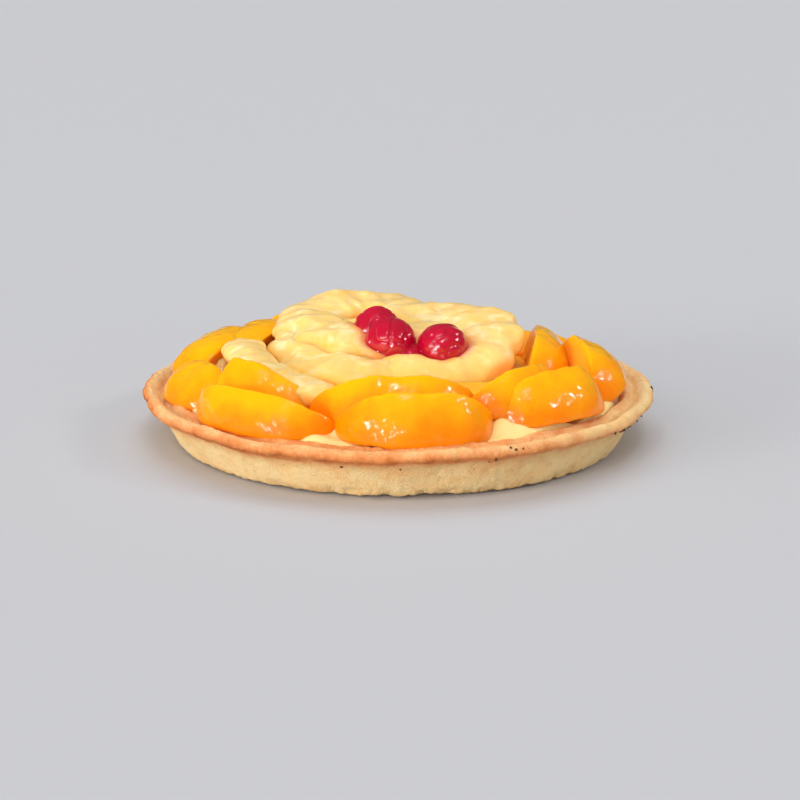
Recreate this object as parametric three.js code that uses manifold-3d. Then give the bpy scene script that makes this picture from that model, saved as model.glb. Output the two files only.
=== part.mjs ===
// Fruit tart: a shortcrust shell with a rolled lip, filled to it with custard. Canned peach slices lie round
// it in two tiers, soft pineapple rings are heaped in the middle, and four cherries sit on them.
// Millimetres, +Z up. The origin is the centre of the shell's underside. The front of the tart is -Y.
import * as THREE from "three";
import { mergeVertices } from "three/addons/utils/BufferGeometryUtils.js";
import Module from "manifold-3d";

const wasm = await Module();
wasm.setup();

// Driving dimensions.
const LIP_RADIUS = 100; // out to the lip's edge
const BASE_RADIUS = 86; // flat underside
const LIP_HEIGHT = 20; // top of the lip's outer crest
const CRUST = 4; // thickness of the shell's floor
const FILLING_EDGE = 18; // custard level at the lip
const FILLING_CROWN = 20.5; // custard level under the pineapple
const BLUNT = 0.68; // how blunt a slice's ends are: 1 is an ellipsoid's pointed end, less is blunter
const SLICE_MIDDLE = 0.62; // place of a slice's middle, from the stone's axis to the skin
const STONE_LENGTH = 0.55; // the stone's hollow against the slice's length
const STONE_DEPTH = 0.36; // the stone's hollow against the slice's depth
const GAP = 0.35; // clearance between pieces that touch
const RING_STEPS = 27; // steps round a whole pineapple ring
const SHELL_STEPS = 50; // steps round the shell

const COLOURS = {
  crust: { color: 0xdf9d5c, roughness: 0.8 },
  custard: { color: 0xf6dd92, roughness: 0.35 },
  peach: { color: 0xffa610, roughness: 0.25 },
  pineapple: { color: 0xfbdd8f, roughness: 0.3 },
  cherry: { color: 0xb8001f, roughness: 0.15 },
};

// Peach slices. Each is a wedge of an ellipsoid with the stone's hollow along its inner edge.
// at: middle of the slice. heading: direction of its length, from +X, with its skin then facing right of it.
// lean: angle of the skin from straight up. pitch: lift of its leading end. length, depth: along the slice,
// and from the stone's axis to the skin. wedge: angle between the cut faces. All angles are in degrees.
// cut: where a slice's trailing end was cut off, as a share of half its length.
const SLICES = {
  peach_front: {
    at: [7.4, -78, 25.2], heading: 6.6, lean: 68, pitch: -1, length: 60, depth: 29.4, wedge: 41,
  },
  peach_front_left: {
    at: [-51.6, -61.9, 23.4], heading: 327, lean: 69, pitch: 0, length: 64, depth: 27, wedge: 38,
  },
  peach_front_right: {
    at: [57.5, -54.2, 27.2], heading: 40, lean: 54, pitch: 1, length: 54, depth: 24.5, wedge: 52,
  },
  peach_left: {
    at: [-78, -26, 24.2], heading: 302, lean: 40, pitch: 0, length: 38, depth: 17.5, wedge: 80,
  },
  peach_right: {
    at: [75.5, -7, 28], heading: 100, lean: 37, pitch: 2, length: 54, depth: 24, wedge: 55,
  },
  peach_back_left: {
    at: [-72.5, 16, 28.8], heading: 243, lean: 18, pitch: -4, length: 55, depth: 20.5, wedge: 78,
  },
  peach_inner_front: {
    at: [0, -64.5, 27.8], heading: 5, lean: 66, pitch: -1, length: 64, depth: 28, wedge: 43,
  },
  peach_inner_left: {
    at: [-47, -42, 24], heading: 338, lean: 60, pitch: -22, length: 58, depth: 26, wedge: 40, cut: 0.72,
  },
  peach_inner_right: {
    at: [45, -52, 28.6], heading: 50, lean: 62, pitch: -3, length: 47, depth: 26.5, wedge: 44,
  },
  peach_inner_left_back: {
    at: [-60, 22, 30.4], heading: 248, lean: 12, pitch: -4, length: 58, depth: 20, wedge: 76,
  },
  peach_inner_right_back: {
    at: [57.5, 8, 29.5], heading: 86, lean: 43, pitch: 0, length: 58, depth: 22, wedge: 50,
  },
  peach_back_1: {
    at: [60, 43, 21.8], heading: 127, lean: 76, pitch: 0, length: 58, depth: 24, wedge: 29,
  },
  peach_back_2: {
    at: [22, 71, 23], heading: 165, lean: 70, pitch: -1, length: 62, depth: 27, wedge: 36,
  },
  peach_back_3: {
    at: [-36, 66, 23.5], heading: 206, lean: 68, pitch: 1, length: 61, depth: 26, wedge: 38,
  },
  peach_inner_back: {
    at: [12, 53, 25.5], heading: 176, lean: 62, pitch: 0, length: 58, depth: 26, wedge: 42,
  },
};

// Pineapple rings, soft and draped. at: middle of the ring. tilt: lift of its back edge. roll: lift of its
// left edge. outer, inner: radii. thick: thickness. lobes: scallops round its rim. sag: drop of its edge.
// turn: turn of its waves. down, droop: direction in which one side droops, and how far.
const RINGS = {
  pineapple_back: {
    at: [-11, 20, 39], tilt: 5, roll: 2, outer: 37.5, inner: 11, thick: 9.5,
    lobes: 12, sag: 3, turn: 50, down: 200, droop: 1,
  },
  pineapple_left: {
    at: [-13, -2, 32.5], tilt: 6, roll: 2, outer: 37.5, inner: 11, thick: 9.5,
    lobes: 13, sag: 3, turn: 10, down: 300, droop: 2.5,
  },
  pineapple_right: {
    at: [11.5, -2, 36.3], tilt: 12, roll: -4, outer: 37, inner: 11, thick: 9,
    lobes: 12, sag: 3, turn: 30, down: 285, droop: 3,
  },
};

// One more ring, cut open, hangs down over the front left. Its middle line runs round an arc about at.
// from, to: directions of its two ends. drop: fall from its first end to its last.
const STRIP = {
  at: [-12, 0, 31.6], radius: 48.5, from: 178, to: 262, width: 17, thick: 9, drop: 7,
};

// Cherries. at: middle. radius: half the width. squash: height against width.
const CHERRIES = {
  cherry_front: { at: [-2.9, -8.3, 38.4], radius: 9.8, squash: 0.98, turn: 20 },
  cherry_right: { at: [17.2, -12, 37.2], radius: 10, squash: 0.96, turn: 140 },
  cherry_back: { at: [-8.5, 3.5, 41], radius: 9.2, squash: 0.95, turn: 260 },
  cherry_low: { at: [4.5, -11, 32.5], radius: 8, squash: 0.8, turn: 75 },
};

const radians = THREE.MathUtils.degToRad;

// A closed geometry as a solid, and a solid as a geometry.
function solid(geometry) {
  geometry.deleteAttribute("normal");
  geometry.deleteAttribute("uv");
  const merged = mergeVertices(geometry, 1e-3);
  return new wasm.Manifold(
    new wasm.Mesh({
      numProp: 3,
      vertProperties: new Float32Array(merged.attributes.position.array),
      triVerts: new Uint32Array(merged.index.array),
    }),
  );
}

function geometryOf(manifold) {
  const mesh = manifold.getMesh();
  const geometry = new THREE.BufferGeometry();
  geometry.setAttribute("position", new THREE.BufferAttribute(mesh.vertProperties, 3));
  geometry.setIndex(new THREE.BufferAttribute(mesh.triVerts, 1));
  geometry.computeVertexNormals();
  return geometry;
}

// A solid less its neighbours. Where they cut off a corner, the largest piece is kept.
function trimmed(body, cutters) {
  const rest = cutters.reduce((left, cutter) => left.subtract(cutter), body);
  return rest.decompose().sort((a, b) => b.volume() - a.volume())[0];
}

// Moves every vertex of a geometry by a function of its place.
function shape(geometry, move) {
  const position = geometry.attributes.position;
  const point = new THREE.Vector3();
  for (let i = 0; i < position.count; i++) {
    point.fromBufferAttribute(position, i);
    move(point);
    position.setXYZ(i, point.x, point.y, point.z);
  }
  return geometry;
}

function placed(geometry, { at, heading, lean, pitch }) {
  const turn = new THREE.Matrix4()
    .makeRotationZ(radians(heading))
    .multiply(new THREE.Matrix4().makeRotationY(-radians(pitch)))
    .multiply(new THREE.Matrix4().makeRotationX(radians(lean)));
  return geometry.applyMatrix4(turn.setPosition(...at));
}

// A half section moved outwards by grow, square to its sides. Its two ends stay on the axis.
function widened(outline, grow) {
  return outline.map((point, i) => {
    const before = outline[Math.max(i - 1, 0)];
    const after = outline[Math.min(i + 1, outline.length - 1)];
    const along = after.clone().sub(before).normalize();
    const moved = new THREE.Vector2(point.x + along.y * grow, point.y - along.x * grow);
    return point.x === 0 ? moved.setX(0) : moved;
  });
}

// The shell. Its outline runs from the middle of the underside, up the outside, over the lip with its two
// ridges and down the inside to the floor. The lip is uneven: it rises, falls and bulges round the tart.
function crust(grow) {
  const wall = [
    [0, 0],
    [BASE_RADIUS - 1.5, 0],
    [BASE_RADIUS + 1, 1.2],
    [BASE_RADIUS + 3.5, 5],
    [BASE_RADIUS + 6, 10],
    [LIP_RADIUS - 6.5, LIP_HEIGHT - 6.8],
    [LIP_RADIUS - 3, LIP_HEIGHT - 4.8],
    [LIP_RADIUS - 0.6, LIP_HEIGHT - 3.6],
    [LIP_RADIUS, LIP_HEIGHT - 2],
    [LIP_RADIUS - 1.2, LIP_HEIGHT - 0.4],
    [LIP_RADIUS - 3.2, LIP_HEIGHT],
    [LIP_RADIUS - 6, LIP_HEIGHT - 1],
    [LIP_RADIUS - 8.2, LIP_HEIGHT - 1.1],
    [LIP_RADIUS - 10.4, LIP_HEIGHT - 0.4],
    [LIP_RADIUS - 12.2, LIP_HEIGHT - 1.6],
    [LIP_RADIUS - 13.4, LIP_HEIGHT - 6],
    [LIP_RADIUS - 17, CRUST],
    [0, CRUST],
  ];
  const outline = widened(wall.map(([r, z]) => new THREE.Vector2(r, z)), grow);
  const lathe = new THREE.LatheGeometry(outline, SHELL_STEPS).rotateX(Math.PI / 2);
  return shape(lathe, (p) => {
    const r = Math.hypot(p.x, p.y) || 1;
    const a = Math.atan2(p.y, p.x);
    const high = THREE.MathUtils.smoothstep(p.z, 2, LIP_HEIGHT - 4) * (r > BASE_RADIUS - 3 ? 1 : 0);
    const bulge = 0.3 * Math.sin(4 * a + 1) + 0.3 * Math.sin(12 * a + 2) + 0.2 * Math.sin(20 * a);
    const lift = 0.5 * Math.sin(a + 2.4) + 0.35 * Math.sin(4 * a) + 0.2 * Math.sin(13 * a + 1);
    p.x *= 1 + (bulge * high) / r;
    p.y *= 1 + (bulge * high) / r;
    p.z += lift * high;
  });
}

// The custard: it reaches the shell's wall and is a little higher under the pineapple.
function custard() {
  const wall = LIP_RADIUS - 17 - 2 * GAP;
  const outline = [
    new THREE.Vector2(0, CRUST + GAP),
    new THREE.Vector2(wall, CRUST + GAP),
    new THREE.Vector2(wall + 3.2, LIP_HEIGHT - 6.3),
    new THREE.Vector2(wall + 3.4, FILLING_EDGE - 0.6),
  ];
  const steps = 3;
  for (let i = 0; i <= steps; i++) {
    const t = 1 - i / steps;
    const rise = (1 + Math.cos(Math.PI * t)) / 2;
    outline.push(new THREE.Vector2((wall + 2.6) * t, FILLING_EDGE + (FILLING_CROWN - FILLING_EDGE) * rise));
  }
  return new THREE.LatheGeometry(outline, 24).rotateX(Math.PI / 2);
}

// A peach slice, lying along X with its skin up, before it is placed. grow makes it larger all round.
function slice(piece, grow) {
  const half = piece.length / 2;
  const flesh = shape(new THREE.SphereGeometry(1, 20, 8).rotateZ(Math.PI / 2), (p) => {
    p.x = Math.sign(p.x) * Math.pow(Math.abs(p.x), BLUNT);
  });
  flesh.scale(half + grow, piece.depth + grow, piece.depth + grow);
  const stone = new THREE.SphereGeometry(1, 8, 5).rotateZ(Math.PI / 2);
  const hollow = piece.depth * STONE_DEPTH - grow;
  stone.scale(half * STONE_LENGTH - grow, hollow, hollow);
  const open = radians(piece.wedge / 2);
  const apex = -grow / Math.sin(open);
  const reach = piece.depth * 1.3;
  const sector = new THREE.Shape()
    .moveTo(0, apex)
    .lineTo(reach * Math.sin(open), apex + reach * Math.cos(open))
    .lineTo(-reach * Math.sin(open), apex + reach * Math.cos(open));
  const start = (piece.cut ? piece.cut * half : piece.length) + grow;
  const prism = new THREE.ExtrudeGeometry(sector, { depth: piece.length + start, bevelEnabled: false })
    .translate(0, 0, -start)
    .rotateX(Math.PI / 2)
    .rotateZ(Math.PI / 2);
  const wedge = solid(flesh).intersect(solid(prism)).subtract(solid(stone));
  return solid(placed(geometryOf(wedge).translate(0, 0, -piece.depth * SLICE_MIDDLE), piece));
}

// A pineapple ring: a flattened torus with a scalloped rim, whose edge sags and waves.
function ring(piece, grow) {
  const middle = (piece.outer + piece.inner) / 2;
  const half = (piece.outer - piece.inner) / 2;
  const torus = new THREE.TorusGeometry(middle, half, 8, RING_STEPS);
  shape(torus, (p) => {
    const a = Math.atan2(p.y, p.x);
    const r = Math.hypot(p.x, p.y);
    const t = radians(piece.turn);
    const side = (r - middle) / half;
    const scallop = side > 0 ? 0.035 * Math.cos(piece.lobes * (a + t)) * side : 0;
    const uneven = 0.04 * Math.sin(2 * a + t) + 0.03 * Math.sin(3 * a - t);
    const flat = Math.sign(p.z) * Math.pow(Math.abs(p.z) / half, 0.7) * (piece.thick / 2 + grow);
    const radius = middle + side * (half + grow);
    const k = (radius * (1 + scallop + uneven * (side > 0 ? side : 0))) / r;
    p.x *= k;
    p.y *= k;
    const wave = 1.2 * Math.sin(3 * a + 2 * t) * (r / piece.outer);
    const low = piece.droop * Math.pow(Math.max(Math.cos(a - radians(piece.down)), 0), 2);
    const fall = (piece.sag + low) * Math.pow(radius / piece.outer, 2);
    p.z = flat * (1 - 0.1 * side) - fall + piece.sag * 0.4 + wave;
  });
  torus.rotateX(radians(piece.tilt)).rotateY(radians(piece.roll)).translate(...piece.at);
  return solid(torus);
}

// The opened ring: a rounded bar, bent round its arc and dropping towards its front end.
function strip(piece, grow) {
  const sweep = radians(piece.to - piece.from);
  const long = piece.radius * sweep;
  const half = piece.width / 2;
  const bar = new THREE.CapsuleGeometry(half, long - piece.width, 4, 10, 10);
  shape(bar, (p) => {
    const along = (p.y + long / 2) / long;
    const side = p.x / half;
    const a = radians(piece.from) + sweep * along;
    const lump = 1 + 0.06 * Math.sin(9 * along + 1);
    const radius = piece.radius + side * (half * lump + grow);
    const up = (p.z / half) * (piece.thick / 2 + grow) * lump;
    const end = a + (along - 0.5) * grow * 0.06;
    const fall = piece.drop * (along - 0.35) - 1.5 * Math.sin(5 * along);
    p.set(radius * Math.cos(end), radius * Math.sin(end), up - fall);
  });
  return solid(bar.translate(...piece.at));
}

// A cherry: a squashed ball with shallow folds.
function cherry(piece, grow) {
  const ball = new THREE.IcosahedronGeometry(1, 2);
  shape(ball, (p) => {
    const t = radians(piece.turn);
    const fold = 1 + 0.05 * Math.sin(4 * p.x + 3 * p.z + t) + 0.04 * Math.cos(5 * p.y - 2 * p.z + 2 * t);
    p.multiplyScalar(piece.radius * fold + grow);
    p.z *= piece.squash;
  });
  return solid(ball.translate(...piece.at));
}

// Every piece of fruit, from the top of the heap down. A piece gives way to those before it.
const FRUIT = [
  ...Object.entries(CHERRIES).map(([name, piece]) => ({ name, piece, make: cherry, look: "cherry" })),
  ...Object.entries(RINGS).map(([name, piece]) => ({ name, piece, make: ring, look: "pineapple" })),
  { name: "pineapple_strip", piece: STRIP, make: strip, look: "pineapple" },
  ...Object.entries(SLICES).map(([name, piece]) => ({ name, piece, make: slice, look: "peach" })),
];

const tart = new THREE.Group();
tart.name = "fruit_tart";

function add(name, geometry, look) {
  const mesh = new THREE.Mesh(geometry, new THREE.MeshStandardMaterial({ metalness: 0, ...COLOURS[look] }));
  mesh.name = name;
  tart.add(mesh);
}

const cutters = [solid(crust(GAP))];
for (const { name, piece, make, look } of FRUIT) {
  add(name, geometryOf(trimmed(make(piece, 0), cutters)), look);
  cutters.push(make(piece, GAP));
}
add("custard", geometryOf(trimmed(solid(custard()), cutters.slice(1))), "custard");
add("crust", geometryOf(solid(crust(0))), "crust");

export default tart;
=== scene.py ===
# A glazed fruit tart: shortcrust shell, custard, canned peach slices, pineapple rings and candied cherries.
# Blender works in metres. Sizes here are real ones in millimetres, turned to metres by MM.
import math
import random

import bpy
from mathutils import Matrix, Vector, noise
from mathutils.bvhtree import BVHTree


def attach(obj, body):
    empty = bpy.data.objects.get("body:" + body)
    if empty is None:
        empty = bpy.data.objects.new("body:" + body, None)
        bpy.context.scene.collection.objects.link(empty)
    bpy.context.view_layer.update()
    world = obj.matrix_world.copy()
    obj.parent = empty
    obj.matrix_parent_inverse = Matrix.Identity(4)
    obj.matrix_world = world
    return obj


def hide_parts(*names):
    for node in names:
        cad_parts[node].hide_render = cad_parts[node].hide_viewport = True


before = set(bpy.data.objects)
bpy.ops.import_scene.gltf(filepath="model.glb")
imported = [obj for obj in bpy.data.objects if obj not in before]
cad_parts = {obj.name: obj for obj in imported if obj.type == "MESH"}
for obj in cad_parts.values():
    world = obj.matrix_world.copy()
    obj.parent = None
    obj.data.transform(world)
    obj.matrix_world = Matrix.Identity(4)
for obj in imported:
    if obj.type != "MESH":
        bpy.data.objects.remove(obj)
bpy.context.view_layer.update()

MM = 0.001
ORIGIN = (0, 0, 0)

# The shell's driving sizes, in millimetres.
LIP_RADIUS = 100
BASE_RADIUS = 86
LIP_HEIGHT = 20
CRUST = 4
FILLING_EDGE = 18
FILLING_CROWN = 20.5

# Peach slices: middle, direction of the length, lean of the skin from straight up, lift of the leading end,
# length, depth from the stone's axis to the skin, and angle between the cut faces. A last number says that
# the slice was cut short, and where, as a share of half its length.
SLICES = {
    "peach_front": ((7.4, -78, 25.2), 6.6, 68, -1, 60, 29.4, 41),
    "peach_front_left": ((-51.6, -61.9, 23.4), 327, 69, 0, 64, 27, 38),
    "peach_front_right": ((57.5, -54.2, 27.2), 40, 54, 1, 54, 24.5, 52),
    "peach_left": ((-78, -26, 24.2), 302, 40, 0, 38, 17.5, 80),
    "peach_right": ((75.5, -7, 28), 100, 37, 2, 54, 24, 55),
    "peach_back_left": ((-72.5, 16, 28.8), 243, 18, -4, 55, 20.5, 78),
    "peach_inner_front": ((0, -64.5, 27.8), 5, 66, -1, 64, 28, 43),
    "peach_inner_left": ((-47, -42, 24), 338, 60, -22, 58, 26, 40, 0.72),
    "peach_inner_right": ((45, -52, 28.6), 50, 62, -3, 47, 26.5, 44),
    "peach_inner_left_back": ((-60, 22, 30.4), 248, 12, -4, 58, 20, 76),
    "peach_inner_right_back": ((57.5, 8, 29.5), 86, 43, 0, 58, 22, 50),
    "peach_back_1": ((60, 43, 21.8), 127, 76, 0, 58, 24, 29),
    "peach_back_2": ((22, 71, 23), 165, 70, -1, 62, 27, 36),
    "peach_back_3": ((-36, 66, 23.5), 206, 68, 1, 61, 26, 38),
    "peach_inner_back": ((12, 53, 25.5), 176, 62, 0, 58, 26, 42),
}

# Pineapple rings: middle, tilt and roll in degrees, outer and inner radius, thickness, how many scallops, how
# far the edge sags, turn, the direction in which a side droops and by how much, and the directions of the
# creases across it.
RINGS = {
    "pineapple_back": ((-11, 20, 39), 5, 2, 37.5, 11, 9.5, 12, 3, 50, 200, 1, (150, 182, 216, 322, 48)),
    "pineapple_left": ((-13, -2, 32.5), 6, 2, 37.5, 11, 9.5, 13, 3, 10, 300, 2.5, (196, 232, 262)),
    "pineapple_right": ((11.5, -2, 36.3), 12, -4, 37, 11, 9, 12, 3, 30, 285, 3, (238, 300, 338, 20)),
}

# Cherries: middle, half the width, height against width, and turn in degrees.
CHERRIES = {
    "cherry_front": ((-2.9, -8.3, 38.4), 9.8, 0.98, 20),
    "cherry_right": ((17.2, -12, 37.2), 10, 0.96, 140),
    "cherry_back": ((-8.5, 3.5, 41), 9.2, 0.95, 260),
    "cherry_low": ((4.5, -11, 32.5), 8, 0.8, 75),
}


def linear(code):
    """A colour from its sRGB hex code, as the shaders want it."""
    parts = [int(code[i : i + 2], 16) / 255 for i in (1, 3, 5)]
    return [c / 12.92 if c < 0.04045 else ((c + 0.055) / 1.055) ** 2.4 for c in parts] + [1]


def smooth(value, low, high):
    """0 below low, 1 above high, and an even slope between."""
    t = min(max((value - low) / (high - low), 0), 1)
    return t * t * (3 - 2 * t)


# --- Modelling helpers ---


def start():
    """Leaves edit mode with nothing selected."""
    if bpy.context.object and bpy.context.object.mode != "OBJECT":
        bpy.ops.object.mode_set(mode="OBJECT")
    bpy.ops.object.select_all(action="DESELECT")


def named(name):
    """The primitive just added, under its own name."""
    piece = bpy.context.object
    piece.name = name
    piece.data.name = name
    return piece


def modify(piece, kind, **settings):
    """One modifier, set and applied."""
    bpy.context.view_layer.objects.active = piece
    step = piece.modifiers.new(kind.lower(), kind)
    for key, value in settings.items():
        setattr(step, key, value)
    bpy.ops.object.modifier_apply(modifier=step.name)


def relief(piece, kind, grain, height, detail=2):
    """Raises and sinks the surface by a texture. grain and height are in millimetres."""
    texture = bpy.data.textures.new(kind.lower(), kind)
    texture.noise_scale = grain * MM
    if kind == "CLOUDS":
        texture.noise_depth = detail
    modify(piece, "DISPLACE", texture=texture, strength=height * MM, mid_level=0.5)


def sculpt(piece, move):
    """Moves each point of a mesh by a rule in millimetres."""
    for vertex in piece.data.vertices:
        vertex.co = move(vertex.co / MM) * MM


def remember(piece, name, rule, kind="FLOAT"):
    """Keeps a value or a vector at each point, worked out from its place in millimetres, for the material."""
    kept = piece.data.attributes.new(name, kind, "POINT")
    field = "value" if kind == "FLOAT" else "vector"
    for vertex, slot in zip(piece.data.vertices, kept.data):
        setattr(slot, field, rule(vertex.co / MM))


def finish(piece, material, node):
    """Dresses a finished piece and puts it in the place of its solid."""
    start()
    piece.select_set(True)
    bpy.context.view_layer.objects.active = piece
    bpy.ops.object.transform_apply(location=True, rotation=True, scale=True)
    bpy.ops.object.shade_smooth()
    piece.data.materials.clear()
    piece.data.materials.append(material)
    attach(piece, "root")
    if node:
        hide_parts(node)
    return piece


# --- Materials ---


def fresh(name):
    """A new material with its Principled shader."""
    material = bpy.data.materials.new(name)
    material.use_nodes = True
    return material, material.node_tree.nodes["Principled BSDF"]


def plug(material, node, inputs):
    """Sets a node's sockets, or links those that are given another node's output."""
    for key, value in inputs.items():
        if isinstance(value, bpy.types.NodeSocket):
            material.node_tree.links.new(value, node.inputs[key])
        else:
            node.inputs[key].default_value = value


def add(material, kind, inputs, out=0, **settings):
    """Adds a node with its settings and links, and gives back the output that out names."""
    node = material.node_tree.nodes.new(kind)
    for key, value in settings.items():
        setattr(node, key, value)
    plug(material, node, inputs)
    return node.outputs[out]


def lumps(place, grain, detail=3.0, rough=0.55, twist=0.0):
    """What a noise needs for lumps of that size in millimetres."""
    inputs = {"Vector": place, "Scale": 1 / (grain * MM), "Distortion": twist}
    inputs.update({"Detail": detail, "Roughness": rough})
    return inputs


EASED = {"interpolation_type": "SMOOTHSTEP"}
COLOUR = {"data_type": "RGBA"}
MIXED = 2  # the colour output of a Mix node, whose colours go in at 6 and 7

# How brown the pastry is, from raw to burnt.
BAKE_COLOURS = [
    (0.0, "#FFDC9E"),
    (0.22, "#FBCB88"),
    (0.42, "#F8B878"),
    (0.6, "#F09A58"),
    (0.8, "#D87A38"),
    (1.0, "#A05022"),
]


def baked_shortcrust():
    """Shortcrust pastry, pressed in a tin and baked: matt, sandy, pale where the tin shaded it and brown on
    the lip, with painted shade in the brown under the lip's outer edge. The eye sees fine crumb, small pits,
    cracks and dark specks."""
    material, shader = fresh("baked_shortcrust")
    place = add(material, "ShaderNodeTexCoord", {}, "Object")
    # How brown the pastry is, with painted shade in it under the lip's outer edge.
    bake_and_shade = add(material, "ShaderNodeAttribute", {}, "Fac", attribute_name="bake_and_shade")
    patches = add(material, "ShaderNodeTexNoise", lumps(place, 9, 4, 0.6))
    crumb = add(material, "ShaderNodeTexNoise", lumps(place, 1.1, 5, 0.65))
    sandy = add(material, "ShaderNodeTexNoise", lumps(place, 0.45, 2, 0.6))
    done = bake_and_shade
    for pattern, share in ((patches, 0.9), (crumb, 0.22)):
        shift = add(material, "ShaderNodeMath", {0: pattern, 1: 0.5}, operation="SUBTRACT")
        shift = add(material, "ShaderNodeMath", {0: shift, 1: share}, operation="MULTIPLY")
        done = add(material, "ShaderNodeMath", {0: done, 1: shift}, operation="ADD")
    browning_and_shade = add(material, "ShaderNodeValToRGB", {"Fac": done}, "Color")
    stops = browning_and_shade.node.color_ramp.elements
    while len(stops) < len(BAKE_COLOURS):
        stops.new(0.5)
    for stop, (position, code) in zip(stops, BAKE_COLOURS):
        stop.position = position
        stop.color = linear(code)

    # Streaks where the dough was worked by hand.
    flat = add(material, "ShaderNodeVectorMath", {0: place, 1: (1, 1, 1.7)}, operation="MULTIPLY")
    worked = add(material, "ShaderNodeTexNoise", lumps(flat, 5, 4, 0.65, 1.2))
    streaks = {"Value": worked, "From Min": 0.52, "From Max": 0.7, "To Max": 0.4}
    streaks = add(material, "ShaderNodeMapRange", streaks, **EASED)
    colour = add(material, "ShaderNodeMix", {0: streaks, 6: browning_and_shade, 7: linear("#E2AE6E")}, MIXED, **COLOUR)

    # Dark specks, one to each cell of about 4.5 mm, and only in some patches.
    cells = {"Vector": flat, "Scale": 1 / (4.5 * MM)}
    specks = add(material, "ShaderNodeTexVoronoi", cells, "Distance")
    specks = add(material, "ShaderNodeMath", {0: specks, 1: sandy}, operation="MULTIPLY")
    specks = {"Value": specks, "From Min": 0.015, "From Max": 0.05, "To Min": 0.8, "To Max": 0.0}
    specks = add(material, "ShaderNodeMapRange", specks, **EASED)
    few = add(material, "ShaderNodeTexNoise", lumps(place, 7, 1))
    few = add(material, "ShaderNodeMapRange", {"Value": few, "From Min": 0.45, "From Max": 0.65}, **EASED)
    specks = add(material, "ShaderNodeMath", {0: specks, 1: few}, operation="MULTIPLY")
    colour = add(material, "ShaderNodeMix", {0: specks, 6: colour, 7: linear("#8A5526")}, MIXED, **COLOUR)

    rough = add(material, "ShaderNodeBump", {"Height": crumb, "Distance": 0.9 * MM, "Strength": 1.0})
    grit = {"Height": sandy, "Distance": 0.35 * MM, "Strength": 1.0, "Normal": rough}
    grit = add(material, "ShaderNodeBump", grit)
    plug(material, shader, {"Base Color": colour, "Roughness": 0.78, "IOR": 1.45, "Normal": grit})
    plug(material, shader, {"Subsurface Weight": 0.12, "Subsurface Scale": 1.5 * MM})
    plug(material, shader, {"Subsurface Radius": (1.0, 0.6, 0.3)})
    return material


def set_custard():
    """Baked vanilla custard: smooth, dense and creamy, with a skin that shines a little."""
    material, shader = fresh("set_custard")
    place = add(material, "ShaderNodeTexCoord", {}, "Object")
    blotches = add(material, "ShaderNodeTexNoise", lumps(place, 6, 3))
    creams = {0: blotches, 6: linear("#FFE09A"), 7: linear("#FBD486")}
    colour = add(material, "ShaderNodeMix", creams, MIXED, **COLOUR)
    curds = add(material, "ShaderNodeTexNoise", lumps(place, 2.2, 3))
    curds = add(material, "ShaderNodeBump", {"Height": curds, "Distance": 0.4 * MM, "Strength": 1.0})
    plug(material, shader, {"Base Color": colour, "Roughness": 0.35, "IOR": 1.42, "Normal": curds})
    plug(material, shader, {"Subsurface Weight": 0.5, "Subsurface Scale": 3 * MM})
    plug(material, shader, {"Subsurface Radius": (1.0, 0.75, 0.35)})
    plug(material, shader, {"Coat Weight": 0.6, "Coat Roughness": 0.12})
    return material


def canned_peach():
    """Canned peach in jelly glaze: dense wet flesh that lets light in a little way, with painted light and
    shade: yellow high up where it is lit, deep orange low down in shade, paler on the cut faces. The glaze is
    clear, a little lumpy, and thin on the cut faces."""
    material, shader = fresh("canned_peach")
    place = add(material, "ShaderNodeTexCoord", {}, "Object")
    skin = add(material, "ShaderNodeAttribute", {}, "Fac", attribute_name="skin")
    # height: how high each point stands in its slice, which sets the painted light and shade of its colour.
    height = add(material, "ShaderNodeAttribute", {}, "Fac", attribute_name="height")
    blotches = add(material, "ShaderNodeTexNoise", lumps(place, 14, 3))
    shift = add(material, "ShaderNodeMath", {0: blotches, 1: 0.5}, operation="SUBTRACT")
    level = add(material, "ShaderNodeMath", {0: height, 1: shift}, operation="ADD")
    level = add(material, "ShaderNodeMapRange", {"Value": level, "From Min": 0.2, "From Max": 1.0}, **EASED)
    # Painted light and shade: yellow where the slice stands high and is lit, deep orange low down in shade.
    lit_and_shaded_yellows = {0: level, 6: linear("#FF8800"), 7: linear("#FFAE00")}
    flesh = add(material, "ShaderNodeMix", lit_and_shaded_yellows, MIXED, **COLOUR)
    rind = {"Value": skin, "From Min": 0.86, "From Max": 0.97}
    uncut = add(material, "ShaderNodeMapRange", {**rind, "To Min": 0.6}, **EASED)
    wet = add(material, "ShaderNodeMapRange", {**rind, "To Min": 0.25}, **EASED)
    colour = add(material, "ShaderNodeMix", {0: uncut, 6: linear("#FFA040"), 7: flesh}, MIXED, **COLOUR)
    fibres = add(material, "ShaderNodeTexNoise", lumps(place, 1.2, 3))
    fibres = add(material, "ShaderNodeBump", {"Height": fibres, "Distance": 0.12 * MM, "Strength": 1.0})
    jelly = add(material, "ShaderNodeTexNoise", lumps(place, 4.5, 1, 0.5))
    jelly = add(material, "ShaderNodeBump", {"Height": jelly, "Distance": 0.6 * MM, "Strength": 1.0})
    plug(material, shader, {"Base Color": colour, "Roughness": 0.5, "IOR": 1.36, "Specular IOR Level": 0.15})
    plug(material, shader, {"Normal": fibres, "Coat Normal": jelly})
    plug(material, shader, {"Subsurface Weight": 0.6, "Subsurface Scale": 4 * MM})
    plug(material, shader, {"Subsurface Radius": (1.0, 0.45, 0.08)})
    plug(material, shader, {"Coat Weight": wet, "Coat Roughness": 0.03, "Coat IOR": 1.35})
    return material


STAIN_REACH = 5  # how far a cherry's red runs into the pineapple


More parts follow.
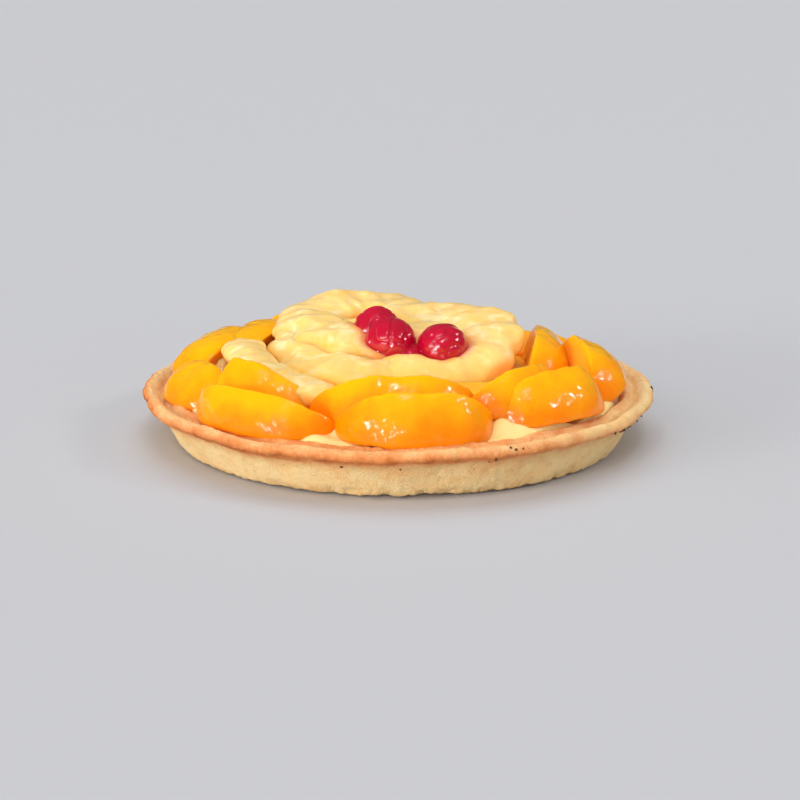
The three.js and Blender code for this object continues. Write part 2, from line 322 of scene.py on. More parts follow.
def canned_pineapple():
    """Canned pineapple in jelly glaze: pale translucent flesh with fibres that run out from the core,
    golden at its edges, amber low down with painted warm light bounced from the peaches, and stained pink
    where cherries lie on it."""
    material, shader = fresh("canned_pineapple")
    place = add(material, "ShaderNodeTexCoord", {}, "Object")
    grain = add(material, "ShaderNodeAttribute", {}, "Vector", attribute_name="grain")
    rim = add(material, "ShaderNodeAttribute", {}, "Fac", attribute_name="rim")
    # deep: painted warm light bounced up from the peaches, amber where the pineapple lies low.
    deep = add(material, "ShaderNodeAttribute", {}, "Fac", attribute_name="deep")
    fibres = add(material, "ShaderNodeTexNoise", lumps(grain, 2.2, 4, 0.6))
    blotches = add(material, "ShaderNodeTexNoise", lumps(place, 9, 3))
    # Pale patches: partly random tone of the flesh and partly painted highlights.
    creamy = add(material, "ShaderNodeTexNoise", lumps(place, 7, 2, 0.5, 0.6))

    # Each tint is laid over the ones before: its pattern, where that starts and ends, how strong, and colour.
    tints = [
        (fibres, 0.25, 0.75, 1.0, "#FDD48A"),
        (blotches, 0.48, 0.7, 0.6, "#FFC45C"),
        # pale patches: random tone, and in part painted highlights
        (creamy, 0.5, 0.7, 0.5, "#FFEDBE"),
        # painted warm light bounced from the peaches, low down
        (deep, 0.0, 1.0, 0.75, "#FFBE54"),
        (rim, 0.75, 1.0, 0.45, "#F8AC3C"),
    ]
    colour = linear("#FBC976")
    for pattern, low, high, strength, code in tints:
        mask = {"Value": pattern, "From Min": low, "From Max": high, "To Max": strength}
        mask = add(material, "ShaderNodeMapRange", mask, **EASED)
        colour = add(material, "ShaderNodeMix", {0: mask, 6: colour, 7: linear(code)}, MIXED, **COLOUR)

    # Cherries stain what they lie on.
    for middle, radius, _, _ in list(CHERRIES.values())[:3]:
        away = {0: place, 1: Vector(middle) * MM}
        away = add(material, "ShaderNodeVectorMath", away, "Value", operation="DISTANCE")
        reach = {"From Min": radius * MM, "From Max": (radius + STAIN_REACH) * MM}
        stain = {"Value": away, "To Min": 0.6, "To Max": 0.0, **reach}
        stain = add(material, "ShaderNodeMapRange", stain, **EASED)
        colour = add(material, "ShaderNodeMix", {0: stain, 6: colour, 7: linear("#F0583C")}, MIXED, **COLOUR)

    strands = add(material, "ShaderNodeBump", {"Height": fibres, "Distance": 0.06 * MM, "Strength": 1.0})
    glaze = add(material, "ShaderNodeTexNoise", lumps(place, 3.5, 1))
    glaze = add(material, "ShaderNodeBump", {"Height": glaze, "Distance": 0.4 * MM, "Strength": 1.0})
    plug(material, shader, {"Base Color": colour, "Roughness": 0.4, "IOR": 1.38, "Specular IOR Level": 0.3})
    plug(material, shader, {"Normal": strands, "Coat Normal": glaze})
    plug(material, shader, {"Subsurface Weight": 0.7, "Subsurface Scale": 6 * MM})
    plug(material, shader, {"Subsurface Radius": (1.0, 0.7, 0.25)})
    plug(material, shader, {"Coat Weight": 0.45, "Coat Roughness": 0.06})
    return material


def set_jelly():
    """Set fruit glaze, tinted amber by the juice: clear, wet and smooth."""
    material, shader = fresh("set_jelly")
    place = add(material, "ShaderNodeTexCoord", {}, "Object")
    depth = add(material, "ShaderNodeTexNoise", lumps(place, 10, 2))
    ambers = {0: depth, 6: linear("#FF9A10"), 7: linear("#FFC43C")}
    colour = add(material, "ShaderNodeMix", ambers, MIXED, **COLOUR)
    plug(material, shader, {"Base Color": colour, "Roughness": 0.3, "IOR": 1.35, "Specular IOR Level": 0.2})
    plug(material, shader, {"Subsurface Weight": 0.7, "Subsurface Scale": 5 * MM})
    plug(material, shader, {"Subsurface Radius": (1.0, 0.6, 0.15)})
    plug(material, shader, {"Coat Weight": 0.3, "Coat Roughness": 0.04})
    return material


def candied_cherry():
    """Candied cherry: dyed crimson and soaked in syrup, with a thick glassy coat over small folds."""
    material, shader = fresh("candied_cherry")
    place = add(material, "ShaderNodeTexCoord", {}, "Object")
    depth = add(material, "ShaderNodeTexNoise", lumps(place, 5, 3))
    crimsons = {0: depth, 6: linear("#A40020"), 7: linear("#C80032")}
    colour = add(material, "ShaderNodeMix", crimsons, MIXED, **COLOUR)
    folds = add(material, "ShaderNodeTexNoise", lumps(place, 3.0, 1))
    folds = add(material, "ShaderNodeBump", {"Height": folds, "Distance": 0.25 * MM, "Strength": 1.0})
    plug(material, shader, {"Base Color": colour, "Roughness": 0.4, "IOR": 1.4, "Specular IOR Level": 0.05})
    plug(material, shader, {"Normal": folds, "Coat Normal": folds})
    plug(material, shader, {"Subsurface Weight": 0.4, "Subsurface Scale": 3 * MM})
    plug(material, shader, {"Subsurface Radius": (1.0, 0.08, 0.1)})
    plug(material, shader, {"Coat Weight": 1.0, "Coat Roughness": 0.14, "Coat IOR": 1.85})
    return material


def burnt_crumb():
    """Crumbs of shortcrust that caught in the oven: dry, rough and almost black."""
    material, shader = fresh("burnt_crumb")
    place = add(material, "ShaderNodeTexCoord", {}, "Object")
    grain = add(material, "ShaderNodeTexNoise", lumps(place, 0.6, 3))
    chars = {0: grain, 6: linear("#3A2010"), 7: linear("#7A4A20")}
    colour = add(material, "ShaderNodeMix", chars, MIXED, **COLOUR)
    rough = add(material, "ShaderNodeBump", {"Height": grain, "Distance": 0.2 * MM, "Strength": 1.0})
    plug(material, shader, {"Base Color": colour, "Roughness": 0.85, "Normal": rough})
    return material


# --- The shell ---

# Half section from the underside round the lip and down to the floor: radius, height, how brown it is,
# which under the lip's outer edge and on the wall just below is partly painted shade from the overhang.
SHELL_OUTLINE = [
    (BASE_RADIUS - 1.0, 0, 0.22),
    (BASE_RADIUS + 1.9, 0.9, 0.12),
    (BASE_RADIUS + 3.5, 5, 0.05),
    # From here up to under the lip's outer edge the brown is partly real browning and partly painted shade.
    (BASE_RADIUS + 6, 10, 0.1),
    (LIP_RADIUS - 6, LIP_HEIGHT - 6.9, 0.3),
    (LIP_RADIUS - 2.9, LIP_HEIGHT - 4.9, 0.66),
    (LIP_RADIUS - 0.5, LIP_HEIGHT - 3.5, 0.85),
    (LIP_RADIUS + 0.3, LIP_HEIGHT - 2, 0.7),
    (LIP_RADIUS - 0.7, LIP_HEIGHT - 0.1, 0.52),
    (LIP_RADIUS - 2.8, LIP_HEIGHT + 0.6, 0.36),
    (LIP_RADIUS - 5, LIP_HEIGHT - 0.6, 0.3),
    (LIP_RADIUS - 6.4, LIP_HEIGHT - 1.9, 0.42),
    (LIP_RADIUS - 8, LIP_HEIGHT - 1.8, 0.55),
    (LIP_RADIUS - 9.6, LIP_HEIGHT - 0.6, 0.66),
    (LIP_RADIUS - 10.8, LIP_HEIGHT, 0.68),
    (LIP_RADIUS - 12.2, LIP_HEIGHT - 1.4, 0.6),
    (LIP_RADIUS - 13.4, LIP_HEIGHT - 6, 0.4),
    (LIP_RADIUS - 17, CRUST, 0.3),
]
SHELL_SEGMENTS = 192

# Waves round the lip, outwards and upwards: height in millimetres, how many go round, and shift.
LIP_BULGES = [(0.3, 4, 1), (0.3, 12, 2), (0.2, 20, 0)]
LIP_LIFTS = [(0.5, 1, 2.4), (0.35, 4, 0), (0.2, 13, 1)]

# The crease where the dough was rolled over: its radius, how far it wanders from that, half its width, its
# depth and how much that varies.
ROLL_RADIUS = LIP_RADIUS - 6.6
ROLL_WANDER = 1.3
ROLL_HALF_WIDTH = 0.9
ROLL_DEPTH = 1.3
ROLL_UNEVEN = 0.9

# Chips: where the lip's outer edge is chipped and how deep, and how far those of the foot reach in and up.
CHIPPED_SIDE = math.radians(186)
CHIP_DEPTH = 3.0
FOOT_CHIP = 2.0
FOOT_LIFT = 0.8

# How brown the floor is, and in which directions the lip is paler or burnt, and by how much.
FLOOR_BAKE = 0.3
PALE_RIGHT = -0.25
PALER_RIGHT = 0.3
PALE_LEFT = math.radians(185)
PALER_LEFT = 0.16
BURNT_SIDE = math.radians(184)
BURNT_MORE = 0.35


def waves(kinds, a):
    """How high waves round the tart stand at an angle."""
    return sum(height * math.sin(count * a + shift) for height, count, shift in kinds)


def uneven_lip(point):
    """The lip rises, falls and bulges round the tart."""
    r = math.hypot(point.x, point.y) or 1
    a = math.atan2(point.y, point.x)
    high = smooth(point.z, 2, LIP_HEIGHT - 4) if r > BASE_RADIUS - 3 else 0
    k = 1 + waves(LIP_BULGES, a) * high / r
    return Vector((point.x * k, point.y * k, point.z + waves(LIP_LIFTS, a) * high))


def rolled_crease(point):
    """The crease where the dough was rolled over wanders round the lip, whose left edge is chipped."""
    r = math.hypot(point.x, point.y) or 1
    wander = ROLL_WANDER * noise.noise(Vector((point.x, point.y, 0)) * 0.06)
    depth = ROLL_DEPTH + ROLL_UNEVEN * noise.noise(Vector((point.x, point.y, 40)) * 0.09)
    across = (r - ROLL_RADIUS - wander) / ROLL_HALF_WIDTH
    crease = depth * math.exp(-(across**2)) * smooth(point.z, 15, 17)
    a = math.atan2(point.y, point.x)
    worn = smooth(math.cos(a - CHIPPED_SIDE), 0.9, 0.98) * smooth(r, LIP_RADIUS - 5, LIP_RADIUS - 1)
    chips = CHIP_DEPTH * max(noise.noise(point * 0.45), 0) * worn
    k = 1 - chips / r
    return Vector((point.x * k, point.y * k, point.z - crease - 0.6 * chips))


def ragged_foot(point):
    """Where the dough met the tin's floor, its edge is chipped and lifts here and there."""
    r = math.hypot(point.x, point.y)
    low = (1 - smooth(point.z, 0.5, 5)) * smooth(r, BASE_RADIUS - 12, BASE_RADIUS - 1)
    chip = max(noise.noise(point * 0.16), 0) + 0.5 * max(noise.noise(point * 0.5), 0)
    k = 1 - FOOT_CHIP * chip * low / max(r, 1)
    return Vector((point.x * k, point.y * k, point.z + FOOT_LIFT * chip * low))


def browned_and_shaded(point):
    """As brown as the nearest ring of the outline, which under the lip's outer edge includes painted shade,
    but the lip is paler at its right and its left, and burnt at its left outer edge."""
    r = math.hypot(point.x, point.y)
    if r < BASE_RADIUS - 10:
        return FLOOR_BAKE
    bake_and_shade = min(SHELL_OUTLINE, key=lambda ring: math.hypot(ring[0] - r, ring[1] - point.z))[2]
    a = math.atan2(point.y, point.x)
    paler = PALER_RIGHT * max(math.cos(a - PALE_RIGHT), 0) ** 2
    paler += PALER_LEFT * max(math.cos(a - PALE_LEFT), 0) ** 8
    edge = smooth(r, LIP_RADIUS - 3, LIP_RADIUS)
    burnt = BURNT_MORE * smooth(math.cos(a - BURNT_SIDE), 0.93, 0.99) * edge
    return bake_and_shade - paler * smooth(point.z, 11, 16) + burnt


def shell():
    """Drawn up from its underside ring by ring, as one closed wall."""
    start()
    first = SHELL_OUTLINE[0]
    bpy.ops.mesh.primitive_circle_add(vertices=SHELL_SEGMENTS, radius=first[0] * MM, fill_type="TRIFAN")
    piece = named("tart_shell")
    bpy.ops.object.mode_set(mode="EDIT")
    bpy.ops.mesh.select_all(action="SELECT")
    bpy.ops.mesh.region_to_loop()
    for (r, z, _), (wider, higher, _) in zip(SHELL_OUTLINE, SHELL_OUTLINE[1:]):
        rise = {"value": (0, 0, (higher - z) * MM)}
        bpy.ops.mesh.extrude_edges_move(TRANSFORM_OT_translate=rise)
        bpy.ops.transform.resize(value=(wider / r, wider / r, 1), center_override=ORIGIN)
    bpy.ops.mesh.extrude_edges_move()
    bpy.ops.mesh.merge(type="CENTER")
    bpy.ops.mesh.select_all(action="SELECT")
    bpy.ops.mesh.normals_make_consistent(inside=False)
    bpy.ops.object.mode_set(mode="OBJECT")

    remember(piece, "bake_and_shade", browned_and_shaded)
    modify(piece, "SUBSURF", levels=2, render_levels=2)
    sculpt(piece, uneven_lip)
    sculpt(piece, rolled_crease)
    sculpt(piece, ragged_foot)
    relief(piece, "CLOUDS", grain=9, height=1.2, detail=3)
    relief(piece, "STUCCI", grain=1.6, height=0.5)
    sculpt(piece, lambda point: Vector((point.x, point.y, max(point.z, 0))))
    return piece


# --- The custard ---

# The custard: its edge at the wall, how far it stands above the filling's level, how far it sinks beside the
# wall and over what width, how uneven it is, and the width of its underside as a share of its surface's.
CUSTARD_WALL = LIP_RADIUS - 12.6
CUSTARD_RISE = 0.8
CUSTARD_SINK = 1.0
CUSTARD_SINK_WIDTH = 4
CUSTARD_UNEVEN = 0.5
CUSTARD_FOOT = 0.94

# Swells of custard pressed up between the fruit and the lip: middle, radius and height.
SWELLS = [
    ((-84, -29), 6, 3.5),
    ((-76, -40), 6, 2.0),
    ((-88, -10), 6, 1.5),
    ((-69.5, -1), 5, 11.5),
    ((-21, -69), 4.5, 7.0),
    ((-29, -80), 6, 2.5),
    ((36, -59), 5, 8.0),
    ((37, -69), 4.5, 6.0),
    ((45, -69), 5, 4.5),
    ((54, -67), 6, 4.0),
    ((63, -63), 6, 3.5),
    ((72, -52), 6, 3.5),
    ((80, -32), 7, 3.0),
]


def custard():
    """A flattened ball, spread to the shell's wall and swelling where the fruit presses it up."""
    start()
    bpy.ops.mesh.primitive_uv_sphere_add(segments=240, ring_count=100, radius=1)
    piece = named("custard_filling")
    bpy.ops.object.mode_set(mode="EDIT")
    bpy.ops.transform.resize(value=(CUSTARD_WALL * MM, CUSTARD_WALL * MM, MM))
    bpy.ops.object.mode_set(mode="OBJECT")

    def spread(point):
        r = math.hypot(point.x, point.y)
        if point.z < 0:
            low = CRUST + 0.5 + (1 + point.z) * 2
            return Vector((point.x * CUSTARD_FOOT, point.y * CUSTARD_FOOT, low))
        crown = (1 + math.cos(math.pi * min(r / CUSTARD_WALL, 1))) / 2
        sunk = CUSTARD_SINK * (1 - smooth(CUSTARD_WALL - r, 0, CUSTARD_SINK_WIDTH))
        level = FILLING_EDGE + CUSTARD_RISE - sunk + (FILLING_CROWN - FILLING_EDGE) * crown
        for (x, y), radius, height in SWELLS:
            level += height * math.exp(-((point.x - x) ** 2 + (point.y - y) ** 2) / radius**2)
        level += CUSTARD_UNEVEN * noise.noise(point * 0.09)
        side = min(point.z * 12, 1)
        return Vector((point.x, point.y, level * side + (1 - side) * (CRUST + 3)))

    sculpt(piece, spread)
    modify(piece, "SMOOTH", factor=0.5, iterations=2)
    return piece


# Clear jelly poured between the slices and under the pineapple: how far it reaches, its level there and in
# the middle, and how uneven it is.
JELLY_REACH = 74
JELLY_EDGE = 19
JELLY_CROWN = 29
JELLY_UNEVEN = 1.5


def jelly():
    """A flattened ball of set glaze, high under the pineapple and thin towards the outer slices."""
    start()
    bpy.ops.mesh.primitive_uv_sphere_add(segments=120, ring_count=60, radius=1)
    piece = named("jelly_glaze")
    bpy.ops.object.mode_set(mode="EDIT")
    bpy.ops.transform.resize(value=(JELLY_REACH * MM, JELLY_REACH * MM, MM))
    bpy.ops.object.mode_set(mode="OBJECT")

    def poured(point):
        r = math.hypot(point.x, point.y)
        fall = smooth(r, JELLY_REACH * 0.5, JELLY_REACH)
        level = JELLY_CROWN + (JELLY_EDGE - JELLY_CROWN) * fall + JELLY_UNEVEN * noise.noise(point * 0.07)
        edge = min(abs(point.z) * 8, 1)
        bottom = FILLING_EDGE - 1
        middle = (level + bottom) / 2
        return Vector((point.x, point.y, middle + math.copysign((level - bottom) / 2 * edge, point.z)))

    sculpt(piece, poured)
    return piece


# --- Fruit ---

BLUNT = 0.68  # how blunt a slice's ends are: 1 is an ellipsoid's pointed end, less is blunter
STONE_LENGTH = 0.55  # the stone's hollow, as a share of the slice's length and depth
STONE_DEPTH = 0.36
SLICE_MIDDLE = 0.62  # where a slice's middle is, as a share of its depth
SLICE_VOXEL = 0.75  # the grain in which a slice is rebuilt, so that its edges can be rounded


def halve(at, outwards):
    """Cuts off all that lies beyond a plane, and closes the cut."""
    bpy.ops.mesh.select_all(action="SELECT")
    bpy.ops.mesh.bisect(plane_co=at, plane_no=outwards, use_fill=True, clear_outer=True, threshold=1e-6)


def peach_slice(name, at, heading, lean, pitch, length, depth, wedge, cut=None):
    """A wedge of a blunt ellipsoid with the stone's hollow along its inner edge."""
    half = length / 2
    start()
    bpy.ops.mesh.primitive_uv_sphere_add(segments=72, ring_count=48, radius=1, rotation=(0, math.pi / 2, 0))
    piece = named(name + "_slice")
    bpy.ops.object.transform_apply(location=False, rotation=True, scale=False)
    bpy.ops.object.mode_set(mode="EDIT")
    bpy.ops.transform.resize(value=(half * MM, depth * MM, depth * MM))
    bpy.ops.object.mode_set(mode="OBJECT")
    sculpt(piece, lambda p: Vector((math.copysign(abs(p.x / half) ** BLUNT, p.x) * half, p.y, p.z)))
    bpy.ops.object.mode_set(mode="EDIT")
    if cut:
        halve((-cut * half * MM, 0, 0), (-1, 0, 0))
    lean_of_cut = math.radians(wedge / 2)
    for side in (1, -1):
        halve(ORIGIN, (0, side * math.cos(lean_of_cut), -math.sin(lean_of_cut)))
    start()
    bpy.ops.mesh.primitive_uv_sphere_add(segments=32, ring_count=16, radius=1)
    stone = named("stone")
    bpy.ops.object.mode_set(mode="EDIT")
    wide = depth * STONE_DEPTH * MM
    bpy.ops.transform.resize(value=(half * STONE_LENGTH * MM, wide, wide))
    start()
    piece.select_set(True)
    modify(piece, "BOOLEAN", object=stone, operation="DIFFERENCE", solver="EXACT")
    bpy.data.objects.remove(stone)
    modify(piece, "REMESH", mode="VOXEL", voxel_size=SLICE_VOXEL * MM)
    modify(piece, "SMOOTH", factor=0.5, iterations=9)

    def on_skin(point):
        along = abs(point.x / half) ** (2 / BLUNT)
        return math.sqrt(along + (point.y / depth) ** 2 + (point.z / depth) ** 2)

    remember(piece, "skin", on_skin)
    turn = Matrix.Rotation(math.radians(heading), 4, "Z")
    turn = turn @ Matrix.Rotation(-math.radians(pitch), 4, "Y") @ Matrix.Rotation(math.radians(lean), 4, "X")
    from_middle = Matrix.Translation((0, 0, -SLICE_MIDDLE * depth * MM))
    piece.data.transform(Matrix.Translation(Vector(at) * MM) @ turn @ from_middle)
    low = min(vertex.co.z for vertex in piece.data.vertices) / MM
    high = max(vertex.co.z for vertex in piece.data.vertices) / MM
    # How high each point stands in the slice, for the painted light and shade of its colour.
    remember(piece, "height", lambda point: (point.z - low) / (high - low))
    relief(piece, "CLOUDS", grain=13, height=1.6, detail=1)
    relief(piece, "CLOUDS", grain=3.5, height=0.25, detail=1)
    return piece


# Pineapple rings: how deep their scallops and unevenness are, as shares of the radius. Then in millimetres:
# how high they wave, how deep the grooves, the creases and the hollows under the cherries are, how far the
# rim rises, and between which heights they turn from amber to pale: painted warm light bounced from the
# peaches.
SCALLOP = 0.035
UNEVEN_TWICE = 0.04
UNEVEN_THRICE = 0.03
WAVE_HEIGHT = 1.2
GROOVE_DEPTH = 0.25
CREASE_WIDTH = 6  # degrees
CREASE_DEPTH = 0.9
HOLLOW_DEPTH = 3.0
RIM_RISE = 1.5
FLATNESS = 0.7  # how flat a ring's top is: 1 is round, less is flatter
# Painted warm light bounced from the peaches: amber below the first height, pale above the second.
PAINTED_WARM_BELOW = 26
PALE_ABOVE = 40
FIBRE_SPREAD = 24  # the fibres are as close all the way out as they would be at this radius


def soaked(point):
    """Painted warm light: the lower it lies, the more amber the pineapple is, as lit by light bounced up from
    the peaches.
    """
    return 1 - smooth(point.z, PAINTED_WARM_BELOW, PALE_ABOVE)


def pressed(point):
    """The front cherries lie in hollows that they press in the pineapple."""
    depth = 0
    for middle, radius, _, _ in (CHERRIES["cherry_front"], CHERRIES["cherry_right"], CHERRIES["cherry_low"]):
        away = math.hypot(point.x - middle[0], point.y - middle[1])
        depth = max(depth, HOLLOW_DEPTH * (1 - smooth(away, radius * 0.5, radius + 3)))
    return Vector((point.x, point.y, point.z - depth))


def pineapple_ring(name, at, tilt, roll, outer, inner, thick, lobes, sag, turn, side_down, droop, creases):
    """A flattened torus with a scalloped rim and fibres, whose edge sags and waves."""
    middle = (outer + inner) / 2
    half = (outer - inner) / 2
    start()
    bpy.ops.mesh.primitive_torus_add(
        major_segments=176, minor_segments=48, major_radius=middle * MM, minor_radius=half * MM
    )
    piece = named(name + "_ring")
    t = math.radians(turn)

    def fibre(point):
        a = math.atan2(point.y, point.x)
        r = math.hypot(point.x, point.y)
        return Vector((math.cos(a + t), math.sin(a + t), 0.006 * r + turn)) * FIBRE_SPREAD * MM

    def rim(point):
        r = math.hypot(point.x, point.y)
        return max(abs(r - middle) / half, smooth(-point.z, 0, half * 0.6))

    remember(piece, "grain", fibre, "FLOAT_VECTOR")
    remember(piece, "rim", rim)

    def drape(point):
        a = math.atan2(point.y, point.x)
        r = math.hypot(point.x, point.y)
        side = (r - middle) / half
        scallop = SCALLOP * math.cos(lobes * (a + t)) * side if side > 0 else 0
        uneven = UNEVEN_TWICE * math.sin(2 * a + t) + UNEVEN_THRICE * math.sin(3 * a - t)
        flat = math.copysign((abs(point.z) / half) ** FLATNESS * thick / 2, point.z)
        wide = (middle + side * half) * (1 + scallop + uneven * max(side, 0))
        wave = WAVE_HEIGHT * math.sin(3 * a + 2 * t) * (r / outer)
        for crease in creases:
            across = math.degrees(math.remainder(a - math.radians(crease), math.tau)) / CREASE_WIDTH
            wave -= CREASE_DEPTH * math.exp(-across * across) * smooth(side, -0.4, 0.6)
        strand = Vector((math.cos(a), math.sin(a), 0)) * 5 + Vector((0, 0, turn))
        groove = GROOVE_DEPTH * noise.noise(strand) * smooth(abs(point.z), 0, 3)
        raised = RIM_RISE * side * smooth(point.z, -1, 3)
        far_out = (r / outer) ** 2
        z = flat * (1 - 0.1 * side) + raised - sag * far_out + sag * 0.4 + wave + groove
        z -= droop * max(math.cos(a - math.radians(side_down)), 0) ** 2 * far_out
        return Vector((wide * math.cos(a), wide * math.sin(a), z))

    sculpt(piece, drape)
    relief(piece, "CLOUDS", grain=12, height=4.0, detail=1)
    relief(piece, "CLOUDS", grain=4.5, height=1.3, detail=1)
    modify(piece, "SMOOTH", factor=0.5, iterations=5)
    turned = Matrix.Rotation(math.radians(roll), 4, "Y") @ Matrix.Rotation(math.radians(tilt), 4, "X")
    piece.data.transform(Matrix.Translation(Vector(at) * MM) @ turned)
    sculpt(piece, pressed)
    # Painted warm light bounced from the peaches: amber where the ring lies low.
    remember(piece, "deep", soaked)
    return piece


# The opened ring that hangs down over the front left: the middle and radius of its arc, the degrees where
# that starts and ends, its width and thickness, how far it drops, the depth of its grooves and the height of
# its waves, and between which heights it turns from amber to pale: painted warm light bounced from the
# peaches.
STRIP_AT = (-12, 0, 31.6)
STRIP_RADIUS = 48.5
STRIP_FROM = 178
STRIP_TO = 262
STRIP_WIDTH = 17
STRIP_THICK = 9
STRIP_DROP = 7
STRIP_GROOVE = 0.7
STRIP_WAVE = 1.5
STRIP_PAINTED_WARM_BELOW = 25
STRIP_PALE_ABOVE = 33


def pineapple_strip():
    """A rounded bar, bent round its arc and dropping towards its front end."""
    sweep = math.radians(STRIP_TO - STRIP_FROM)
    long = STRIP_RADIUS * sweep
    half = STRIP_WIDTH / 2
    start()
    lying = (math.pi / 2, 0, 0)
    bpy.ops.mesh.primitive_uv_sphere_add(segments=48, ring_count=96, radius=half * MM, rotation=lying)
    piece = named("pineapple_strip_piece")
    bpy.ops.object.transform_apply(location=False, rotation=True, scale=False)
    bpy.ops.object.mode_set(mode="EDIT")
    bpy.ops.transform.resize(value=(1, long / STRIP_WIDTH, 1))
    bpy.ops.object.mode_set(mode="OBJECT")

    def blunt(point):
        t = point.y / (long / 2)
        pointed = math.sqrt(max(1 - t * t, 1e-6))
        into_end = max((abs(t) * long / 2 - long / 2 + half) / half, 0)
        wanted = min(1, math.sqrt(max(1 - into_end**2, 1e-6)))
        return Vector((point.x / pointed * wanted, point.y, point.z / pointed * wanted))

    sculpt(piece, blunt)
    remember(piece, "grain", lambda p: Vector((p.x * 0.25, p.y * 1.1, p.z * 0.3)) * MM, "FLOAT_VECTOR")
    remember(piece, "rim", lambda p: abs(p.x) / half * 0.85)

    def bent(point):
        along = (point.y + long / 2) / long
        side = point.x / half
        a = math.radians(STRIP_FROM) + sweep * along
        lump = 1 + 0.06 * math.sin(9 * along + 1)
        radius = STRIP_RADIUS + side * half * lump
        groove = STRIP_GROOVE * noise.noise(Vector((point.y * 0.35, point.x * 0.06, 3)))
        up = (point.z / half) * (STRIP_THICK / 2) * lump + groove * smooth(point.z, 0, 4)
        z = up - STRIP_DROP * (along - 0.35) + STRIP_WAVE * math.sin(5 * along)
        return Vector((radius * math.cos(a), radius * math.sin(a), z)) + Vector(STRIP_AT)

    sculpt(piece, bent)
    relief(piece, "CLOUDS", grain=8, height=1.8, detail=1)
    relief(piece, "CLOUDS", grain=2.5, height=0.35, detail=1)
    # Painted warm light bounced from the peaches: amber where the strip lies low.
    remember(piece, "deep", lambda p: 1 - smooth(p.z, STRIP_PAINTED_WARM_BELOW, STRIP_PALE_ABOVE))
    return piece


# How deep the dents and folds in a cherry's skin are, as shares of its radius.
DENT_UP = 0.025
DENT_ROUND = 0.02
FOLD = 0.05
FOLD_MIDDLE = 0.04


def cherry(name, at, radius, squash, turn):
    """A squashed ball with dents and folds in its skin."""
    start()
    bpy.ops.mesh.primitive_ico_sphere_add(subdivisions=6, radius=MM)
    piece = named(name + "_fruit")
    t = math.radians(turn)

    def folded(point):
        fold = 1 + DENT_UP * math.sin(4 * point.x + 3 * point.z + t)
        fold += DENT_ROUND * math.cos(5 * point.y - 2 * point.z + 2 * t)
        crease = abs(noise.noise(point * 1.6 + Vector((turn, 0, 0))))
        fold += FOLD * smooth(crease, 0, 0.2) - FOLD_MIDDLE
        size = radius * fold
        return Vector((point.x * size, point.y * size, point.z * size * squash)) + Vector(at)

    sculpt(piece, folded)
    modify(piece, "SMOOTH", factor=0.5, iterations=3)
    return piece


# Burnt crumbs on the lip: direction round the tart, height where they stick, how many, and how many degrees
# they spread.
CRUMB_HEAPS = [
    (-2, 18, 6, 1.2),
    (-29, 16.5, 13, 4.0),
    (-33, 17.5, 5, 3.0),
    (-66, 19.5, 4, 2.0),
    (-72, 15.5, 2, 5.0),
    (-92, 14, 2, 5.0),
    (180, 17, 9, 6.0),
    (60, 17, 5, 10.0),
    (130, 17, 5, 10.0),
]
CRUMB_SIZES = (0.25, 0.6)
CRUMB_SCATTER = 0.9  # up and down
CRUMB_ROUGHNESS = 0.9  # how far its lumps stand out, as a share of its radius


def crumbs(crust):
    """Burnt crumbs, each a rough little lump stuck to the outside of the lip."""
    draws = random.Random(7)
    corners = [vertex.co for vertex in crust.data.vertices]
    surface = BVHTree.FromPolygons(corners, [face.vertices for face in crust.data.polygons])
    made = []
    for direction, height, count, spread in CRUMB_HEAPS:
        for _ in range(count):
            a = math.radians(direction + draws.gauss(0, spread))
            outwards = Vector((math.cos(a), math.sin(a), 0))
            z = height + draws.gauss(0, CRUMB_SCATTER)
            size = draws.uniform(*CRUMB_SIZES)
            outside = outwards * (LIP_RADIUS + 20) + Vector((0, 0, z))
            spot, _, _, _ = surface.ray_cast(outside * MM, -outwards)
            if spot is None:
                continue
            start()
            bpy.ops.mesh.primitive_ico_sphere_add(subdivisions=2, radius=size * MM, location=spot)
            lump = named("crumb")
            bpy.ops.object.transform_apply(location=True, rotation=False, scale=False)
            middle = spot / MM

            def rough(point):
                away = point - middle
                return middle + away * (1 + CRUMB_ROUGHNESS * noise.noise(point * 1.6))

            sculpt(lump, rough)
            made.append(lump)
    start()
    for lump in made:
        lump.select_set(True)
    bpy.context.view_layer.objects.active = made[0]
    bpy.ops.object.join()
    return named("burnt_crumbs")


# --- Building ---

crust_look = baked_shortcrust()
custard_look = set_custard()
peach_look = canned_peach()
pineapple_look = canned_pineapple()
cherry_look = candied_cherry()

shell_piece = finish(shell(), crust_look, "crust")
finish(crumbs(shell_piece), burnt_crumb(), None)
finish(custard(), custard_look, "custard")
finish(jelly(), set_jelly(), None)
for name, sizes in SLICES.items():
    finish(peach_slice(name, *sizes), peach_look, name)
for name, sizes in RINGS.items():
    finish(pineapple_ring(name, *sizes), pineapple_look, name)
finish(pineapple_strip(), pineapple_look, "pineapple_strip")
for name, sizes in CHERRIES.items():
    finish(cherry(name, *sizes), cherry_look, name)


# --- Studio ---


def floor():
    """Pale grey matt paper, without a seam."""
    start()
    bpy.ops.mesh.primitive_plane_add(size=8, location=(0, 0, 0))
    piece = named("studio_floor")
    material, shader = fresh("matt_paper")
    plug(material, shader, {"Base Color": linear("#BDBDC0"), "Roughness": 0.9, "Specular IOR Level": 0.1})
    piece.data.materials.append(material)


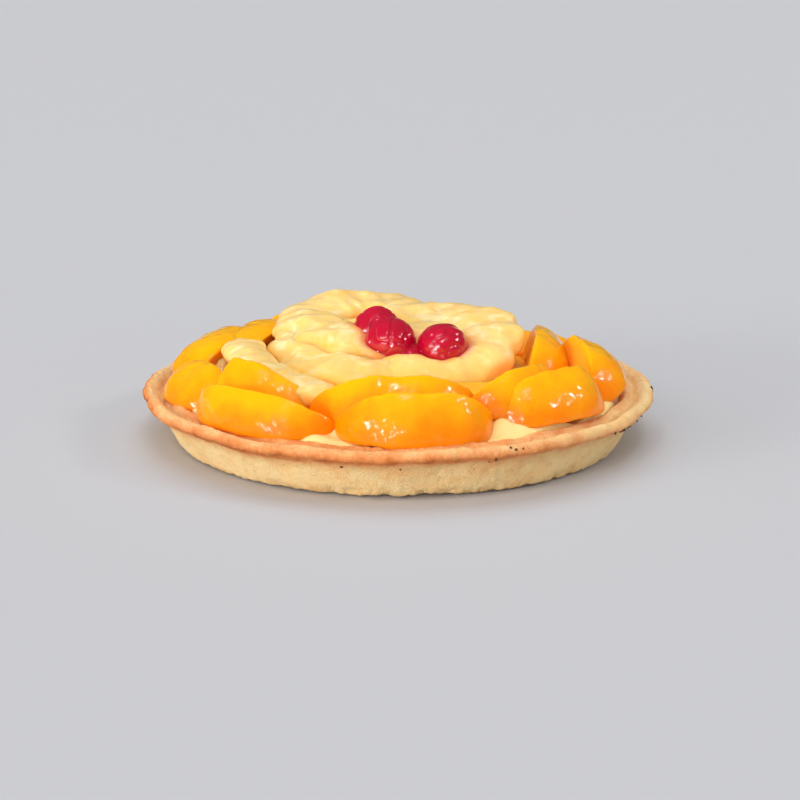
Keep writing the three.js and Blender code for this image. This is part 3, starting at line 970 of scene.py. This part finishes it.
def softbox(name, azimuth, elevation, wide, strength, mirrored=True):
    """A far, even lamp, as wide in the sky as wide says in degrees. Azimuth 0 is in front of the tart and 90
    at its right. strength is what it adds to a white surface that faces it."""
    a = math.radians(azimuth)
    e = math.radians(elevation)
    place = Vector((math.sin(a) * math.cos(e), -math.cos(a) * math.cos(e), math.sin(e)))
    bpy.ops.object.light_add(type="SUN", location=place, rotation=place.to_track_quat("Z", "Y").to_euler())
    lamp = bpy.context.object
    lamp.name = name
    lamp.data.energy = strength * math.pi
    lamp.data.angle = math.radians(wide)
    lamp.visible_glossy = mirrored


# Soft daylight that the glaze doesn't mirror: azimuth, elevation and width in degrees, and strength.
DAYLIGHT = {
    "left_window": (-70, 20, 50, 0.22),
    "front_panel": (5, 18, 60, 0.1),
    "ceiling": (180, 78, 60, 0.4),
    "left_reflector": (-60, 5, 20, 0.24),
    "right_reflector": (40, 9, 20, 0.08),
}

# Bright window panes, which the glaze mirrors as small broken glints: azimuth and elevation.
PANES = [
    (-58, 13),
    (-54, 10),
    (-49, 8),
    (-45, 12),
    (-40, 10),
    (-33, 4),
    (-9, 9),
    (-31, 24),
    (-21, 28),
    (70, 34),
    (79, 30),
    (88, 33),
    (-27, 51),
    (2, 57),
    (16, 60),
]
PANE_WIDTH = 4  # degrees
PANE_STRENGTH = 0.055

# The room is bright, but what the glaze mirrors of it is dim, so that its colours stay deep.
ROOM_STRENGTH = 0.36
ROOM_MIRRORED = 0.1


def studio():
    """Soft daylight boxes in a bright room."""
    world = bpy.data.worlds.new("studio")
    bpy.context.scene.world = world
    world.use_nodes = True
    mirrored = add(world, "ShaderNodeLightPath", {}, "Is Glossy Ray")
    strength = {"Value": mirrored, "To Min": ROOM_STRENGTH, "To Max": ROOM_MIRRORED}
    strength = add(world, "ShaderNodeMapRange", strength, **EASED)
    room = world.node_tree.nodes["Background"]
    plug(world, room, {"Color": linear("#F4F6FA"), "Strength": strength})
    for name, sizes in DAYLIGHT.items():
        softbox(name, *sizes, mirrored=False)
    for i, (azimuth, elevation) in enumerate(PANES):
        softbox(f"pane_{i}", azimuth, elevation, PANE_WIDTH, PANE_STRENGTH)
    bpy.context.scene.view_settings.view_transform = "Standard"
    bpy.context.scene.view_settings.look = "None"


CAMERA_TARGET = Vector((0.8, 0, 12.8)) * MM
CAMERA_DISTANCE = 750 * MM
CAMERA_ELEVATION = math.radians(15.1)
CAMERA_ROLL = math.radians(0.4)
CAMERA_LENS = 85


def camera():
    """Long lens, a little above the table, rolled by a trace."""
    c, s = math.cos(CAMERA_ELEVATION), math.sin(CAMERA_ELEVATION)
    back = Vector((0, -c, s))
    level_up = Vector((0, s, c))
    right = Vector((1, 0, 0)) * math.cos(CAMERA_ROLL) + level_up * math.sin(CAMERA_ROLL)
    up = level_up * math.cos(CAMERA_ROLL) - Vector((1, 0, 0)) * math.sin(CAMERA_ROLL)
    turn = Matrix((right, up, back)).transposed().to_4x4()
    bpy.ops.object.camera_add()
    eye = bpy.context.object
    eye.name = "camera"
    eye.data.lens = CAMERA_LENS
    eye.matrix_world = Matrix.Translation(CAMERA_TARGET + back * CAMERA_DISTANCE) @ turn
    bpy.context.scene.camera = eye


start()
floor()
studio()
camera()
bpy.context.view_layer.update()
